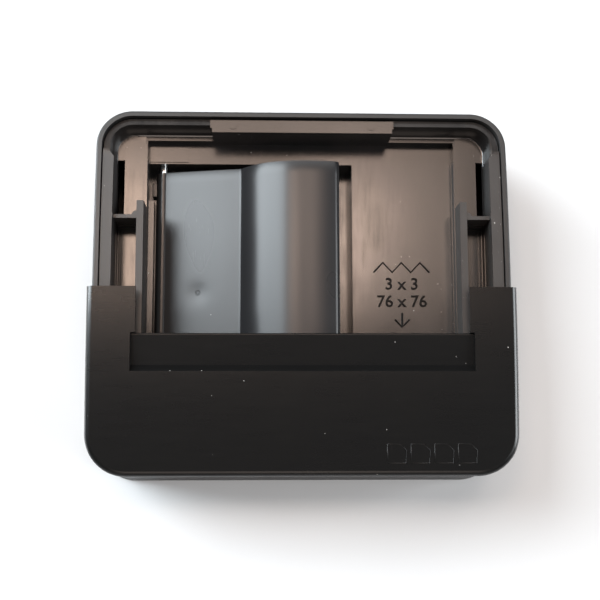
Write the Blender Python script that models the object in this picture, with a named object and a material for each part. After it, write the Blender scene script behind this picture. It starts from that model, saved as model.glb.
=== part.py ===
"""Pop-up note dispenser: a weighted desk base that holds a pad of Z-fold notes, with a sprung
follower under the pad and a front cover that slides forward to let a new pad in.

The origin is on the desk under the middle of the base. X runs to the right, the front is -Y, +Z is up.
"""

import math

import bmesh
import bpy
from mathutils import Matrix, Vector

MM = 0.001

# Driving dimensions, in millimetres
NOTE = 76.0  # side of the square note pad
PAD_PLAY = 0.5  # pocket width over the pad
GAP = 0.3  # between pieces that touch or rest on each other

BASE_WIDTH = 99.6
BASE_DEPTH = 87.0
BASE_CORNER = 8.6
CROWN_RADIUS = 400.0  # of the arched top, seen from the side

FOOT_DROP = 0.8  # feet stand this far below the bottom plate
FOOT_RADIUS = 5.0
FOOT_HEIGHT = 1.6
PLINTH_TOP = 7.0
PLINTH_FLARE_X = 0.85
PLINTH_FLARE_Y = 1.25
POCKET_FLOOR = 19.0
DECK_TOP = 22.7
DECK_THICK = 1.5
TRAY_WALL_CLEAR = 1.9  # top of the wall round the deck, below the underside of the cover
TRAY_WALL = 1.5  # its thickness at the top
DECK_SWEEP = 1.3  # width of the cove that leads from the deck up to the wall
DECK_SWEEP_RISE = 5.0
COVER_TOP = 33.7
COVER_THICK = 1.2
COVER_SIDE = 0.95
COVER_PLAY = 0.2  # between the cover's skirt and the base
RIM_WALL = 1.3
LOWER_WALL = 2.1
MOULD_WALL = 1.3

WELL_WIDTH = 51.15
WELL_FLOOR = 10.0
WELL_MARGIN = 5.05  # pocket floor left at each end of the well

INNER_RIB = 1.65
INNER_RIB_HALF = 21.1
OUTER_RIB = 2.6
OUTER_RIB_HALF = 33.9
OUTER_RIB_CLEAR = 0.8  # its top below the underside of the cover
CHANNEL_HALF = 16.8
CROSSBAR = 0.9
CROSSBAR_DROP = 0.3  # its top below the inner rib's
SLOT_WIDTH = 1.8
BAR_HALF = 22.0
BAR_DEPTH = 2.65
BAR_CLEAR = 0.4  # its top below the underside of the cover
EJECTOR_X = 16.9

PIN_RADIUS = 0.9
PIN_PLAY = 0.08  # running fit in the cheeks and the leaf
PIN_INSET = 3.45  # hinge axis from the left wall of the well
PIN_DROP = 4.2  # hinge axis below the pocket floor
LEAF_THICK = 1.3
LEAF_END_PLAY = 1.7
LEAF_FLAT = 19.8  # length of the flat panel, along X
LEAF_FLAT_RISE = 4.8
CREST_RISE = 8.6  # crest above the top of the flat panel
CREST_GAP = 4.9  # crest's far end from the right wall of the well
CREST_POWER = 4.0  # how soon the curved panel levels out
CREST_ROLL = 0.8  # drop at the far end of the crest

SPRING_INSET = 9.9  # spring axis from the right wall of the well
SPRING_HALF_PITCH = 14.0
SPRING_RADIUS = 3.1
SPRING_WIRE = 0.35
SPRING_TURNS = 5.5

SLOT_EDGE = 11.2  # rear edge of the lip, in front of the middle
LIP_FRONT = 20.3
LIP_DROP = 1.65
LIP_SLOPE = 0.9  # rear edge of the lip above its front
LIP_THICK = 0.95
LIP_RISER = 1.6
LIP_SIDE = 2.25  # lip trough past the side of the pocket
ARM_SIDE = 1.15  # inner edge of each arm past the side of the pocket
BEAD_LENGTH = 10.0
BEAD_DEPTH = 0.9
BEAD_HEIGHT = 1.2
COVER_TRAVEL = 29.5

SCREW_INSET = 7.1
SCREW_RADIUS = 1.1
SCREW_HEAD_RADIUS = 2.3
SCREW_LENGTH = 11.0
WEIGHT_SCREW_LENGTH = 5.0
SCREW_RECESS = 1.1  # for the heads, into the underside of the plate
BOSS_RADIUS = 2.7
FOOT_INSET = 12.4
PLATE_THICK = 2.0
WEIGHT_HALF = 32.0

# Sizes that follow from them
BX, BY = BASE_WIDTH / 2, BASE_DEPTH / 2
POCKET = (NOTE + PAD_PLAY) / 2
WELL_X = (-POCKET, WELL_WIDTH - POCKET)
WELL_Y = POCKET - WELL_MARGIN
INNER_X, INNER_Y = BX - RIM_WALL, BY - RIM_WALL
LOW_X, LOW_Y = BX - LOWER_WALL, BY - LOWER_WALL
TRAY_X, TRAY_Y = INNER_X - GAP, INNER_Y - GAP
RIB_X = (POCKET, POCKET + INNER_RIB)
OUTER_RIB_X = (TRAY_X - OUTER_RIB, TRAY_X)
CI_X, CI_Y = BX + COVER_PLAY, BY + COVER_PLAY  # inside of the cover
CO_X, CO_Y = CI_X + COVER_SIDE, CI_Y + COVER_SIDE
PLATE_BOTTOM = FOOT_DROP
PLATE_TOP = PLATE_BOTTOM + PLATE_THICK
LEDGE = DECK_TOP - DECK_THICK - GAP
PIN_X, PIN_Z = WELL_X[0] + PIN_INSET, POCKET_FLOOR - PIN_DROP
LEAF_HALF = WELL_Y - LEAF_END_PLAY
SPRING_X = WELL_X[1] - SPRING_INSET
CREST_REACH = WELL_X[1] - CREST_GAP - PIN_X - LEAF_FLAT  # from the crease, along X
UNDER_COVER = COVER_TOP - COVER_THICK  # over the middle of the base's length
RIM_TOP = UNDER_COVER - GAP
TRAY_WALL_TOP = UNDER_COVER - TRAY_WALL_CLEAR
OUTER_RIB_TOP = UNDER_COVER - OUTER_RIB_CLEAR
WEIGHT_LEFT_X = (WELL_X[0] + 1.0, WELL_X[1] - 0.9)
WEIGHT_RIGHT_X = (WELL_X[1] + 3.1, POCKET - 1.0)
FAR = 60.0  # past the outside of everything

scene = bpy.context.scene
for old in list(bpy.data.objects):
    bpy.data.objects.remove(old)
model = bpy.data.collections.new("pop_up_note_dispenser")
cutters = bpy.data.collections.new("cutters")
scene.collection.children.link(model)
scene.collection.children.link(cutters)


def material(name, colour, roughness, metallic=0.0):
    made = bpy.data.materials.new(name)
    made.use_nodes = True
    shader = made.node_tree.nodes["Principled BSDF"]
    shader.inputs["Base Color"].default_value = (*colour, 1.0)
    shader.inputs["Roughness"].default_value = roughness
    shader.inputs["Metallic"].default_value = metallic
    return made


SHELL_PLASTIC = material("shell_plastic", (0.022, 0.021, 0.022), 0.38)
TRAY_PLASTIC = material("tray_plastic", (0.020, 0.017, 0.016), 0.18)
COVER_PLASTIC = material("cover_plastic", (0.015, 0.015, 0.015), 0.40)
LEAF_PLASTIC = material("leaf_plastic", (0.018, 0.018, 0.020), 0.15)
PLATE_PLASTIC = material("plate_plastic", (0.020, 0.020, 0.020), 0.55)
RUBBER = material("foot_rubber", (0.030, 0.030, 0.030), 0.85)
STEEL = material("bright_steel", (0.62, 0.62, 0.60), 0.30, 1.0)
WEIGHT_STEEL = material("weight_steel", (0.36, 0.35, 0.34), 0.55, 1.0)


def new_object(name, mesh):
    made = bpy.data.objects.new(name, mesh)
    model.objects.link(made)
    return made


def from_bmesh(name, bm):
    bmesh.ops.recalc_face_normals(bm, faces=bm.faces)
    mesh = bpy.data.meshes.new(name)
    bm.to_mesh(mesh)
    bm.free()
    return new_object(name, mesh)


def block(name, x, y, z, corner=0.0, flare=(0.0, 0.0)):
    """A box between pairs of millimetres, with rounded upright edges and a foot that may flare out."""
    bm = bmesh.new()
    bmesh.ops.create_cube(bm, size=MM)
    bmesh.ops.scale(bm, vec=(x[1] - x[0], y[1] - y[0], z[1] - z[0]), verts=bm.verts)
    if corner:
        upright = [e for e in bm.edges if abs(e.verts[0].co.z - e.verts[1].co.z) > MM / 10]
        bmesh.ops.bevel(
            bm, geom=upright, offset=corner * MM, segments=14 if corner > 5 else 7, profile=0.5,
            affect="EDGES"
        )
    if any(flare):
        low = [v for v in bm.verts if v.co.z < 0]
        grow = [1 + 2 * f / (s[1] - s[0]) for f, s in zip(flare, (x, y))]
        bmesh.ops.scale(bm, vec=(*grow, 1.0), verts=low)
    middle = Vector((sum(x), sum(y), sum(z))) * MM / 2
    bmesh.ops.translate(bm, vec=middle, verts=bm.verts)
    return from_bmesh(name, bm)


def rounded(name, half_x, half_y, z, corner, flare=(0.0, 0.0)):
    return block(name, (-half_x, half_x), (-half_y, half_y), z, corner, flare)


def rod(name, radius, start, length, axis="Z", sides=24):
    """A cylinder that starts at a point in millimetres and runs along +axis."""
    bm = bmesh.new()
    bmesh.ops.create_cone(
        bm, cap_ends=True, segments=sides, radius1=radius * MM, radius2=radius * MM, depth=length * MM
    )
    bmesh.ops.translate(bm, vec=(0, 0, length * MM / 2), verts=bm.verts)
    if axis == "Y":
        bmesh.ops.rotate(bm, cent=(0, 0, 0), matrix=Matrix.Rotation(-math.pi / 2, 3, "X"), verts=bm.verts)
    bmesh.ops.translate(bm, vec=Vector(start) * MM, verts=bm.verts)
    return from_bmesh(name, bm)


def prism(name, outline, axis, low, high):
    """A flat outline, in millimetres, extruded along X (outline in Y, Z), Y (X, Z) or Z (X, Y)."""
    curve = bpy.data.curves.new(name, "CURVE")
    curve.dimensions = "2D"
    curve.fill_mode = "BOTH"
    curve.extrude = (high - low) / 2 * MM
    spline = curve.splines.new("POLY")
    spline.points.add(len(outline) - 1)
    for point, (a, b) in zip(spline.points, outline):
        point.co = (a * MM, b * MM, 0, 1)
    spline.use_cyclic_u = True
    flat = new_object(name + "_outline", curve)
    turn = {
        "X": Matrix(((0, 0, 1), (1, 0, 0), (0, 1, 0))),
        "Y": Matrix(((1, 0, 0), (0, 0, -1), (0, 1, 0))),
        "Z": Matrix.Identity(3),
    }[axis]
    along = Vector([1.0 if c == axis else 0.0 for c in "XYZ"])
    bpy.context.view_layer.update()
    mesh = bpy.data.meshes.new_from_object(flat.evaluated_get(bpy.context.evaluated_depsgraph_get()))
    bpy.data.objects.remove(flat)
    bm = bmesh.new()
    bm.from_mesh(mesh)
    bpy.data.meshes.remove(mesh)
    bmesh.ops.remove_doubles(bm, verts=bm.verts, dist=1e-6)
    place = Matrix.Translation(along * (low + high) / 2 * MM) @ turn.to_4x4()
    bmesh.ops.transform(bm, matrix=place, verts=bm.verts)
    return from_bmesh(name, bm)


def combine(target, tool, operation):
    for holder in list(tool.users_collection):
        holder.objects.unlink(tool)
    cutters.objects.link(tool)
    tool.hide_render = True
    tool.display_type = "WIRE"
    step = target.modifiers.new(tool.name, "BOOLEAN")
    step.operation = operation
    step.solver = "EXACT"
    step.object = tool


def join(target, *tools):
    for tool in tools:
        combine(target, tool, "UNION")


def cut(target, *tools):
    for tool in tools:
        combine(target, tool, "DIFFERENCE")


def finish(piece, look):
    piece.data.materials.clear()
    piece.data.materials.append(look)
    piece.data.shade_smooth()
    piece.data.set_sharp_from_angle(angle=math.radians(30))
    return piece


def crown(top, y):
    """Height of an arched surface, whose top is over the middle of the base, at Y."""
    return top - CROWN_RADIUS + math.sqrt(CROWN_RADIUS**2 - y**2)


def crowned(name, top, back, front, bottom, half_x, steps=10):
    """A block whose top follows the crown, from Y = back forward to Y = front."""
    ys = [back + (front - back) * i / steps for i in range(steps + 1)]
    outline = [(y, crown(top, y)) for y in ys] + [(front, bottom), (back, bottom)]
    return prism(name, outline, "X", -half_x, half_x)


def both_sides(make):
    """The left and right copies of a feature: make(side) with side -1 and 1."""
    return [make(side) for side in (-1, 1)]


def span(side, low, high):
    """The pair (low, high) on one side of the middle, in rising order."""
    return (low, high) if side > 0 else (-high, -low)


def label(side, left="left", right="right"):
    return right if side > 0 else left


def base_shell():
    """Outer wall of the base, with its flared plinth and the grooves that the cover runs in."""
    shell = crowned("base_shell", RIM_TOP, BY, -BY, PLINTH_TOP - 1, BX, 14)
    outer = rounded("shell_outer", BX, BY, (PLINTH_TOP - 2, COVER_TOP + 9), BASE_CORNER)
    combine(shell, outer, "INTERSECT")
    join(
        shell,
        rounded(
            "shell_plinth", CO_X, CO_Y, (PLATE_BOTTOM, PLINTH_TOP), BASE_CORNER + CO_X - BX,
            (PLINTH_FLARE_X, PLINTH_FLARE_Y),
        ),
    )
    cut(
        shell,
        rounded("shell_low_hollow", LOW_X, LOW_Y, (-1, LEDGE + 1), BASE_CORNER - LOWER_WALL),
        rounded("shell_top_hollow", INNER_X, INNER_Y, (LEDGE, COVER_TOP + 9), BASE_CORNER - RIM_WALL),
        rounded(
            "shell_plate_seat", BX - 0.6, BY - 0.6, (-1, PLATE_TOP + GAP), BASE_CORNER - 0.6
        ),
    )
    stop = 2.0 - GAP
    for side in (-1, 1):
        for end in (-1, 1):
            cut(
                shell,
                block(
                    f"groove_{label(side)}_{label(end, 'front', 'rear')}",
                    span(side, BX - BEAD_DEPTH, FAR),
                    span(end, stop, 2.0 + BEAD_LENGTH + COVER_TRAVEL + GAP),
                    bead_heights(GAP),
                ),
            )
    return finish(shell, SHELL_PLASTIC)


def bead_heights(play=0.0):
    middle = PLINTH_TOP + GAP + 1.8
    return (middle - BEAD_HEIGHT / 2 - play, middle + BEAD_HEIGHT / 2 + play)


def tray():
    """Inner moulding: deck, pad pocket, follower well, side rails and pad stops."""
    bottom = DECK_TOP - DECK_THICK
    inner_rib_top = lip_floor() - LIP_THICK - GAP
    bar_top = crown(UNDER_COVER, POCKET + BAR_DEPTH) - BAR_CLEAR
    corner = BASE_CORNER - RIM_WALL - GAP
    part = crowned("tray", TRAY_WALL_TOP, TRAY_Y, -TRAY_Y, bottom, TRAY_X, 14)
    combine(part, rounded("tray_outline", TRAY_X, TRAY_Y, (bottom - 1, FAR), corner), "INTERSECT")
    cut(part, deck_space(corner))
    side_wall = POCKET + MOULD_WALL
    join(
        part,
        block("pocket_box", (-side_wall, side_wall), (-side_wall, side_wall),
              (POCKET_FLOOR - MOULD_WALL, DECK_TOP - 0.5)),
        block("well_box", (WELL_X[0] - MOULD_WALL, WELL_X[1] + MOULD_WALL),
              (-WELL_Y - MOULD_WALL, WELL_Y + MOULD_WALL), (WELL_FLOOR - 1.5, POCKET_FLOOR - 0.4)),
    )
    for side in (-1, 1):
        which = label(side)
        join(
            part,
            prism(f"inner_rib_{which}", rib_outline(side, POCKET - 1, RIB_X[1], INNER_RIB_HALF, 0.9), "Z",
                  POCKET_FLOOR - MOULD_WALL + 0.2, inner_rib_top),
            outer_rib(side),
            block(f"channel_box_{which}", span(side, RIB_X[1] - 0.5, OUTER_RIB_X[0] + MOULD_WALL),
                  (-CHANNEL_HALF - 2, CHANNEL_HALF + 2), (POCKET_FLOOR - 1.4, DECK_TOP - 0.6)),
        )
        for end in (-1, 1):
            where = f"{which}_{label(end, 'front', 'rear')}"
            join(
                part,
                block(f"crossbar_{where}", span(side, RIB_X[1] - 0.4, OUTER_RIB_X[0] + 0.4),
                      span(end, CHANNEL_HALF - 0.3, CHANNEL_HALF + CROSSBAR),
                      (POCKET_FLOOR - 1.2, inner_rib_top - CROSSBAR_DROP)),
                rod(f"rail_boss_{where}", 1.1,
                    (side * (RIB_X[1] + 0.1), end * (CHANNEL_HALF + CROSSBAR / 2 + 0.3), POCKET_FLOOR),
                    inner_rib_top - CROSSBAR_DROP - POCKET_FLOOR, sides=16),
                rod(f"screw_boss_{where}", BOSS_RADIUS,
                    (side * (BX - SCREW_INSET), end * (BY - SCREW_INSET), PLATE_TOP + GAP),
                    DECK_TOP - 0.8 - PLATE_TOP - GAP),
            )
            cut(
                part,
                block(f"guide_slot_{where}", span(side, OUTER_RIB_X[0] - SLOT_WIDTH, OUTER_RIB_X[0]),
                      span(end, CHANNEL_HALF + CROSSBAR, OUTER_RIB_HALF - 0.9), (POCKET_FLOOR - 5, COVER_TOP)),
                rod(f"screw_hole_{where}", SCREW_RADIUS + GAP,
                    (side * (BX - SCREW_INSET), end * (BY - SCREW_INSET), 0), PLATE_TOP + SCREW_LENGTH + 1,
                    sides=16),
            )
        cut(
            part,
            block(f"channel_{which}", span(side, RIB_X[1], OUTER_RIB_X[0]), (-CHANNEL_HALF, CHANNEL_HALF),
                  (POCKET_FLOOR, COVER_TOP)),
        )
    for end in (-1, 1):
        where = label(end, "front", "rear")
        cut(part, block(f"shelf_{where}", (-POCKET - 0.35, POCKET + 0.35), span(end, POCKET - 1, POCKET + 0.9),
                        (DECK_TOP - 0.4, DECK_TOP + 1)))
        join(
            part,
            block(f"pad_stop_{where}", (-BAR_HALF, BAR_HALF), span(end, POCKET - 1, POCKET + BAR_DEPTH),
                  (DECK_TOP - 1, bar_top)),
            block(f"pad_stop_step_{where}", (-BAR_HALF - 0.5, BAR_HALF + 0.5),
                  span(end, POCKET + 1.4, POCKET + BAR_DEPTH + 0.7), (DECK_TOP - 1, bar_top - 1.1)),
        )
        join(part, *both_sides(lambda side: rod(
            f"ejector_mark_{where}_{label(side)}", 1.0,
            (side * EJECTOR_X, end * (POCKET + 1.75), bar_top - 1), 1.2, sides=16)))
        join(part, block(f"hinge_cheek_{where}", (PIN_X - 3.0, PIN_X + 3.3), span(end, WELL_Y - 0.2, WELL_Y + 2.9),
                         (PIN_Z - 3.2, POCKET_FLOOR - 0.6)))
    cut(
        part,
        block("pocket", (-POCKET, POCKET), (-POCKET, POCKET), (POCKET_FLOOR, COVER_TOP + 9)),
        block("well", WELL_X, (-WELL_Y, WELL_Y), (WELL_FLOOR, POCKET_FLOOR + 1)),
        rod("hinge_bore", PIN_RADIUS + PIN_PLAY, (PIN_X, -WELL_Y - 4, PIN_Z), 2 * WELL_Y + 6.1, "Y", 20),
    )
    posts = [
        rod(f"spring_seat_{label(end, 'front', 'rear')}", SPRING_RADIUS - SPRING_WIRE - GAP - 0.1,
            (SPRING_X, end * SPRING_HALF_PITCH, WELL_FLOOR - 0.5), 2.5, sides=16)
        for end in (-1, 1)
    ]
    join(
        part,
        *posts,
        block("follower_stop", (WELL_X[0] - 0.4, WELL_X[0] + 1.85), (-WELL_Y + 3.7, WELL_Y - 3.7),
              (WELL_FLOOR - 0.6, PIN_Z - 1.5)),
        prism("barrel_ledge", [(WELL_X[0] - 0.4, WELL_FLOOR - 0.6), (WELL_X[0] + 1.3, WELL_FLOOR - 0.6),
                               (WELL_X[0] + 1.3, POCKET_FLOOR - 1.4), (WELL_X[0] - 0.4, POCKET_FLOOR - 1.25)],
              "Y", -WELL_Y + 9.2, WELL_Y - 9.2),
        block("floor_pad", (-POCKET + 0.35, -POCKET + 9.95), (WELL_Y + 0.4, POCKET - 0.85),
              (POCKET_FLOOR - 0.5, POCKET_FLOOR + 0.35)),
    )
    return finish(part, TRAY_PLASTIC)


def deck_space(corner):
    """The space over the deck, whose edge sweeps up to the wall round it in a cove."""
    turns = [math.pi / 2 * i / 6 for i in range(7)]
    levels = [(TRAY_WALL + DECK_SWEEP * (1 - math.sin(t)), DECK_TOP + DECK_SWEEP_RISE * (1 - math.cos(t)))
              for t in turns] + [(TRAY_WALL, COVER_TOP + 5)]
    bm, last = bmesh.new(), None
    for inset, height in levels:
        ring = [bm.verts.new(Vector((x, y, height)) * MM)
                for x, y in rounded_outline(TRAY_X - inset, TRAY_Y - inset, corner - inset)]
        if last is None:
            bm.faces.new(reversed(ring))
        else:
            for i, vert in enumerate(ring):
                bm.faces.new((last[i - 1], last[i], vert, ring[i - 1]))
        last = ring
    bm.faces.new(last)
    return from_bmesh("deck_space", bm)


def rounded_outline(half_x, half_y, corner, turns=10):
    """Corner points of a rounded rectangle round the middle, in X, Y, anticlockwise."""
    points = []
    for start, (side, end) in enumerate(((1, 1), (-1, 1), (-1, -1), (1, -1))):
        for i in range(turns + 1):
            angle = math.pi / 2 * (start + i / turns)
            points.append((side * (half_x - corner) + corner * math.cos(angle),
                           end * (half_y - corner) + corner * math.sin(angle)))
    return points


def outer_rib(side):
    """Rib beside the rim, whose top follows the crown under the cover."""
    rib = crowned(f"outer_rib_{label(side)}", OUTER_RIB_TOP, OUTER_RIB_HALF, -OUTER_RIB_HALF,
                  DECK_TOP - DECK_THICK + 0.2, BX)
    plan = rib_outline(side, OUTER_RIB_X[0] - 0.1, OUTER_RIB_X[1], OUTER_RIB_HALF, 1.5)
    combine(rib, prism(f"outer_rib_plan_{label(side)}", plan, "Z", 0, FAR), "INTERSECT")
    return rib


def rib_outline(side, inner, outer, half, chamfer):
    """Plan of a rib along one side, with its inner corners cut off."""
    points = [(inner + chamfer, -half), (outer, -half), (outer, half), (inner + chamfer, half),
              (inner, half - 1.4 * chamfer), (inner, -half + 1.4 * chamfer)]
    return [(side * x, y) for x, y in points]


def bottom_plate():
    """Plate that closes the base, with fences that keep the weights in place."""
    plate = rounded("bottom_plate", BX - 0.6 - GAP, BY - 0.6 - GAP, (PLATE_BOTTOM, PLATE_TOP),
                    BASE_CORNER - 0.6 - GAP)
    fence = (PLATE_TOP - 0.5, PLATE_TOP + 2.6)
    for name, x in (("left", WEIGHT_LEFT_X[0] - GAP - 1.2), ("middle", WEIGHT_LEFT_X[1] + GAP),
                    ("right", WEIGHT_RIGHT_X[1] + GAP)):
        join(plate, block(f"fence_{name}", (x, x + 1.2), (-WEIGHT_HALF + 3, WEIGHT_HALF - 3), fence))
    for name, (x, y, _) in screw_places().items():
        cut(
            plate,
            rod(f"plate_hole_{name}", SCREW_RADIUS + GAP, (x, y, -1), PLATE_TOP + 2, sides=16),
            rod(f"plate_recess_{name}", SCREW_HEAD_RADIUS + GAP, (x, y, -1),
                1 + PLATE_BOTTOM + SCREW_RECESS),
        )
    for name, (x, y) in foot_places().items():
        cut(plate, rod(f"foot_recess_{name}", FOOT_RADIUS + GAP, (x, y, -1), 1 + FOOT_HEIGHT + GAP))
    return finish(plate, PLATE_PLASTIC)


def screw_places():
    """Name, place and length of every screw: one in each corner and one under each weight."""
    places = {
        f"screw_{label(side)}_{label(end, 'front', 'rear')}":
            (side * (BX - SCREW_INSET), end * (BY - SCREW_INSET), SCREW_LENGTH)
        for side in (-1, 1)
        for end in (-1, 1)
    }
    for name, x in (("left", WEIGHT_LEFT_X), ("right", WEIGHT_RIGHT_X)):
        places[f"weight_screw_{name}"] = (sum(x) / 2, 0, WEIGHT_SCREW_LENGTH)
    return places


def foot_places():
    return {
        f"foot_{label(side)}_{label(end, 'front', 'rear')}":
            (side * (BX - FOOT_INSET), end * (BY - FOOT_INSET))
        for side in (-1, 1)
        for end in (-1, 1)
    }


def weights():
    """Two steel blocks that keep the dispenser on the desk when a note is pulled."""
    made = []
    for name, x, top in (("left", WEIGHT_LEFT_X, WELL_FLOOR - 1.5 - GAP),
                         ("right", WEIGHT_RIGHT_X, PLATE_TOP + GAP + 8.0)):
        piece = block(f"weight_{name}", x, (-WEIGHT_HALF, WEIGHT_HALF), (PLATE_TOP + GAP, top), 1.0)
        cut(piece, rod(f"weight_hole_{name}", SCREW_RADIUS + GAP, (sum(x) / 2, 0, 0), top + 1, sides=16))
        made.append(finish(piece, WEIGHT_STEEL))
    return made


def screws():
    """Pan-head screws driven from below: four clamp the case together, two hold the weights."""
    made = []
    for name, (x, y, length) in screw_places().items():
        head = PLATE_BOTTOM + 0.05
        screw = rod(name, SCREW_HEAD_RADIUS, (x, y, head), 0.75)
        join(screw, rod(f"shank_{name}", SCREW_RADIUS, (x, y, head + 0.4), length, sides=16))
        cut(
            screw,
            block(f"drive_x_{name}", (x - 1.2, x + 1.2), (y - 0.25, y + 0.25), (0, head + 0.4)),
            block(f"drive_y_{name}", (x - 0.25, x + 0.25), (y - 1.2, y + 1.2), (0, head + 0.4)),
        )
        made.append(finish(screw, STEEL))
    return made


def feet():
    return [
        finish(rod(name, FOOT_RADIUS, (x, y, 0), FOOT_HEIGHT), RUBBER)
        for name, (x, y) in foot_places().items()
    ]


def leaf_top():
    """Top surface of the follower in X, Z: flat panel, then a soft step up to a rounded crest."""
    start = (PIN_X - 0.9, PIN_Z + 1.35)
    crease = (start[0] + LEAF_FLAT + 0.9, start[1] + LEAF_FLAT_RISE)
    steps = 12
    points = [start, crease]
    for i in range(1, steps + 1):
        points.append((crease[0] + CREST_REACH * i / steps, crease[1] + crest_rise(i / steps)))
    return points


def crest_rise(share):
    """Rise above the crease at a share of the way to the tip: steep, then level, then rolling over."""
    return CREST_RISE * (1 - (1 - share) ** CREST_POWER) - CREST_ROLL * share**6


def follower():
    """Hinged leaf that the springs press up against the underside of the pad."""
    top = leaf_top()
    tip = top[-1]
    nose = [(tip[0] + 0.55, tip[1] - 0.2), (tip[0] + 0.95, tip[1] - 0.65), (tip[0] + 1.1, tip[1] - 1.6),
            (tip[0] + 0.2, tip[1] - 1.7)]
    under = []
    for i in range(len(top) - 1, 0, -1):
        before, here = Vector(top[i - 1]), Vector(top[i])
        after = Vector(top[min(i + 1, len(top) - 1)])
        along = (after - before).normalized()
        under.append(tuple(here + LEAF_THICK * Vector((along.y, -along.x))))
    along = (Vector(top[1]) - Vector(top[0])).normalized()
    under.append(tuple(Vector(top[0]) + LEAF_THICK * Vector((along.y, -along.x))))
    leaf = prism("follower", top + nose + under, "Y", -LEAF_HALF, LEAF_HALF)
    join(leaf, rod("leaf_barrel", PIN_RADIUS + PIN_PLAY + 0.87, (PIN_X, -LEAF_HALF, PIN_Z), 2 * LEAF_HALF, "Y", 20))
    for end in (-1, 1):
        where = label(end, "front", "rear")
        join(
            leaf,
            block(f"heel_{where}", (PIN_X - 3.0, PIN_X - 0.6), span(end, LEAF_HALF - 6.0, LEAF_HALF - 2.5),
                  (PIN_Z - 1.5 + GAP, PIN_Z + 0.6)),
            rod(f"spring_locator_{where}", SPRING_RADIUS - SPRING_WIRE - GAP - 0.1,
                (SPRING_X, end * SPRING_HALF_PITCH, spring_top() - 1.2), 2.2, sides=16),
        )
    cut(leaf, rod("leaf_bore", PIN_RADIUS + PIN_PLAY, (PIN_X, -LEAF_HALF - 1, PIN_Z), 2 * LEAF_HALF + 2, "Y", 20))
    return finish(leaf, LEAF_PLASTIC)


def spring_top():
    """Height of the springs' upper ends, just under the leaf's crest."""
    crease_z = PIN_Z + 1.35 + LEAF_FLAT_RISE
    crease_x = PIN_X + LEAF_FLAT
    share = (SPRING_X - SPRING_RADIUS - SPRING_WIRE - crease_x) / CREST_REACH
    return crease_z + crest_rise(share) - LEAF_THICK - 2 * GAP


def hinge_pin():
    return finish(rod("hinge_pin", PIN_RADIUS, (PIN_X, -WELL_Y - 1.8, PIN_Z), 2 * WELL_Y + 3.6, "Y", 20), STEEL)


def coil_spring(name, end):
    """Compression spring between the well's floor and the follower."""
    low, high = WELL_FLOOR + GAP + SPRING_WIRE, spring_top() - SPRING_WIRE
    curve = bpy.data.curves.new(name, "CURVE")
    curve.dimensions = "3D"
    curve.bevel_depth = SPRING_WIRE * MM
    curve.bevel_resolution = 1
    curve.use_fill_caps = True
    per_turn = 14
    count = round(SPRING_TURNS * per_turn)
    spline = curve.splines.new("POLY")
    spline.points.add(count)
    for i, point in enumerate(spline.points):
        angle = 2 * math.pi * i / per_turn
        x = SPRING_X + SPRING_RADIUS * math.cos(angle)
        y = end * SPRING_HALF_PITCH + SPRING_RADIUS * math.sin(angle)
        point.co = (x * MM, y * MM, (low + (high - low) * i / count) * MM, 1)
    wire = new_object(name + "_path", curve)
    bpy.context.view_layer.update()
    mesh = bpy.data.meshes.new_from_object(wire.evaluated_get(bpy.context.evaluated_depsgraph_get()))
    bpy.data.objects.remove(wire)
    bm = bmesh.new()
    bm.from_mesh(mesh)
    bpy.data.meshes.remove(mesh)
    bmesh.ops.remove_doubles(bm, verts=bm.verts, dist=1e-6)
    return finish(from_bmesh(name, bm), STEEL)


def front_cover():
    """Front half of the top, with a sunken lip at the slot and beads that run in the base's grooves."""
    rear = -GAP
    bottom = PLINTH_TOP + GAP
    cover = crowned("front_cover", COVER_TOP, rear, -CO_Y, bottom, CO_X)
    combine(cover, rounded("cover_outer", CO_X, CO_Y, (bottom - 1, COVER_TOP + 9), BASE_CORNER + CO_X - BX),
            "INTERSECT")
    hollow = crowned("cover_hollow", COVER_TOP - COVER_THICK, rear + 5, -CI_Y, bottom - 5, CI_X)
    combine(hollow, rounded("cover_inner", CI_X, CI_Y, (bottom - 6, COVER_TOP + 9), BASE_CORNER + CI_X - BX),
            "INTERSECT")
    arm = POCKET + ARM_SIDE
    trough = POCKET + LIP_SIDE
    cut(
        cover,
        hollow,
        block("cover_mouth", (-arm, arm), (-SLOT_EDGE - 0.5, 5), (POCKET_FLOOR, COVER_TOP + 5)),
        block("lip_space", (-trough, trough), (-LIP_FRONT, -SLOT_EDGE + 0.01), (POCKET_FLOOR, COVER_TOP + 5)),
    )
    top, floor = crown(COVER_TOP, LIP_FRONT), lip_floor()
    lip = prism("lip_plate", lip_outline(top, floor), "X", -trough - 0.6, trough + 0.6)
    join(cover, lip)
    join(cover, *both_sides(lambda side: block(
        f"lip_cheek_{label(side)}", span(side, trough, trough + 1.1), (-LIP_FRONT - 0.4, -SLOT_EDGE),
        (floor - LIP_THICK, top - 0.3))))
    join(cover, *both_sides(lambda side: block(
        f"guide_bead_{label(side)}", span(side, CI_X - BEAD_DEPTH, CI_X + 0.4),
        (-2.0 - BEAD_LENGTH, -2.0), bead_heights())))
    return finish(cover, COVER_PLASTIC)


def lip_floor():
    """Height of the front of the lip."""
    return crown(COVER_TOP, LIP_FRONT) - LIP_DROP


def lip_outline(top, floor):
    """Section of the lip in Y, Z: down a short riser, back up the floor, round the slot's edge."""
    radius = LIP_THICK / 2
    edge = floor + LIP_SLOPE
    nose = [
        (-SLOT_EDGE - radius + radius * math.sin(a), edge - radius + radius * math.cos(a))
        for a in [math.pi * i / 6 for i in range(7)]
    ]
    return [(-LIP_FRONT - 0.6, top), (-LIP_FRONT, top), (-LIP_FRONT + LIP_RISER, floor), *nose,
            (-LIP_FRONT + LIP_RISER + 0.9, floor - LIP_THICK),
            (-LIP_FRONT + LIP_RISER - 0.9, floor - LIP_THICK + 0.15),
            (-LIP_FRONT - 0.6, floor - LIP_THICK + 0.9)]


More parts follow.
